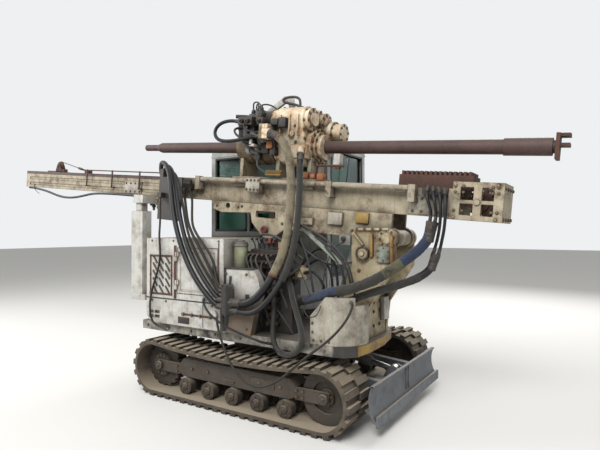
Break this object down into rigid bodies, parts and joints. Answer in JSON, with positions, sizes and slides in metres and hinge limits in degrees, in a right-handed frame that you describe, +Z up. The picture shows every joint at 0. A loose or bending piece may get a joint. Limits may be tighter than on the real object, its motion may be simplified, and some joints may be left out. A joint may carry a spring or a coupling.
{
  "type": "soil improvement machine",
  "caption": "Crawler soil improvement machine with a cab, a levelling blade and a folded-down mast that carries a rotary head and a long drill rod.",
  "frame": {"origin": "middle of the standing machine's bounding box, on the ground", "axes": "+X to the blade and the mast's foot, +Y to the cab, +Z up"},
  "size_m": [6.8464, 2.08, 2.9278],
  "materials": {
    "cream_paint": "chipped gloss over rust",
    "grey_paint": "worn satin",
    "blade_grey": "scuffed satin",
    "rusty_steel": "rusted",
    "dark_steel": "oily matt",
    "bright_rod": "polished",
    "track_rubber": "dusty matt",
    "hose_rubber": "satin",
    "cab_glass": "tinted clear",
    "seat_vinyl": "satin"
  },
  "bodies": {
    "undercarriage": {"track_right": "track_rubber", "track_left": "track_rubber", "track_frame_right": "dark_steel", "track_frame_left": "dark_steel", "bottom_rollers": "dark_steel", "idlers": "rusty_steel", "sprockets": "rusty_steel", "centre_frame": "dark_steel"},
    "blade": {"blade_arms": "blade_grey", "blade_board": "blade_grey"},
    "blade_barrel": {"blade_cylinder_barrel": "blade_grey"},
    "blade_rod": {"blade_cylinder_rod": "bright_rod"},
    "upper": {"slewing_deck": "grey_paint", "counterweight": "grey_paint", "engine_hood": "grey_paint", "engine": "dark_steel", "oil_tank": "cream_paint", "tool_box": "cream_paint", "valve_block": "dark_steel", "front_skirt": "cream_paint", "mast_tower": "cream_paint", "rest_post": "grey_paint", "cab_shell": "grey_paint", "cab_glass": "cab_glass", "operator_seat": "seat_vinyl", "bay_hoses": "hose_rubber", "foot_hose_collars": "hose_rubber", "foot_hoses": "hose_rubber", "loop_hoses": "hose_rubber"},
    "cab_door": {"cab_door": "grey_paint", "door_glass": "cab_glass"},
    "hood_door": {"hood_door": "grey_paint"},
    "mast": {"mast_beam": "cream_paint", "mast_cradle": "cream_paint", "mast_foot": "rusty_steel", "chain_guard": "rusty_steel", "feed_cylinder": "bright_rod", "sheave_bracket": "rusty_steel", "hose_hanger": "dark_steel", "hose_manifold": "dark_steel", "head_hoses": "hose_rubber", "hose_wrap": "hose_rubber"},
    "feed_wheel": {"feed_wheel": "rusty_steel"},
    "top_sheave": {"top_sheave": "rusty_steel"},
    "head": {"head_carriage": "cream_paint", "rotary_gear_case": "cream_paint", "drive_motors": "dark_steel", "head_pipe_hoses": "hose_rubber"},
    "rod": {"drill_rod": "rusty_steel", "rod_yoke": "rusty_steel"},
    "raise_barrels": {"raise_cylinder_barrels": "cream_paint"},
    "raise_rods": {"raise_cylinder_rods": "bright_rod"}
  },
  "joints": [
    {"name": "slew", "type": "hinge", "parent": "undercarriage", "child": "upper", "pos_m": [0.78558, 0, 0.62], "axis": [0, 0, 1], "continuous": true, "deforming": ["loop_hoses"]},
    {"name": "blade_lift", "type": "hinge", "parent": "undercarriage", "child": "blade", "pos_m": [1.38558, 0, 0.33], "axis": [0, -1, 0], "range_deg": [-11, 14]},
    {"name": "blade_barrel_swing", "type": "hinge", "parent": "undercarriage", "child": "blade_barrel", "pos_m": [1.28558, 0, 0.48], "axis": [0, -1, 0], "range_deg": [-9.2, 11.71]},
    {"name": "blade_rod_slide", "type": "slide", "parent": "blade_barrel", "child": "blade_rod", "axis": [0.9795, 0, -0.2017], "range_m": [-0.03212, 0.02524]},
    {"name": "mast_raise", "type": "hinge", "parent": "upper", "child": "mast", "pos_m": [2.13558, -0.33, 1.55], "axis": [0, 1, 0], "range_deg": [0, 85], "deforming": ["foot_hose_collars", "foot_hoses", "hose_wrap"]},
    {"name": "raise_barrel_swing", "type": "hinge", "parent": "upper", "child": "raise_barrels", "pos_m": [1.63558, -0.33, 0.92], "axis": [0, 1, 0], "range_deg": [-0.04, 15.33]},
    {"name": "raise_rod_slide", "type": "slide", "parent": "raise_barrels", "child": "raise_rods", "axis": [0.277, 0, 0.9609], "range_m": [-0.00082, 0.34661]},
    {"name": "feed", "type": "slide", "parent": "mast", "child": "head", "axis": [0.9959, 0, -0.0906], "range_m": [-3.1, 0.74], "deforming": ["head_hoses"]},
    {"name": "rod_spin", "type": "hinge", "parent": "head", "child": "rod", "pos_m": [2.20491, -0.33, 2.31185], "axis": [0.9959, 0, -0.0906], "continuous": true},
    {"name": "feed_wheel_spin", "type": "hinge", "parent": "mast", "child": "feed_wheel", "pos_m": [2.81779, -0.33, 1.81928], "axis": [0, 1, 0], "continuous": true},
    {"name": "top_sheave_spin", "type": "hinge", "parent": "mast", "child": "top_sheave", "pos_m": [-2.78721, -0.33, 2.51514], "axis": [0, 1, 0], "continuous": true},
    {"name": "cab_door_swing", "type": "hinge", "parent": "upper", "child": "cab_door", "pos_m": [0.22558, 0.963, 1.4], "axis": [0, 0, 1], "range_deg": [0, 100]},
    {"name": "hood_door_swing", "type": "hinge", "parent": "upper", "child": "hood_door", "pos_m": [0.13558, -0.943, 1.2], "axis": [0, 0, -1], "range_deg": [0, 95]}
  ],
  "couplings": [
    {"joint": "blade_barrel_swing", "follows": "blade_lift", "ratio": 0.81971},
    {"joint": "blade_rod_slide", "follows": "blade_lift", "m_per_rad": -0.1289},
    {"joint": "raise_barrel_swing", "follows": "mast_raise", "ratio": 0.17678},
    {"joint": "raise_rod_slide", "follows": "mast_raise", "m_per_rad": 0.22905}
  ]
}
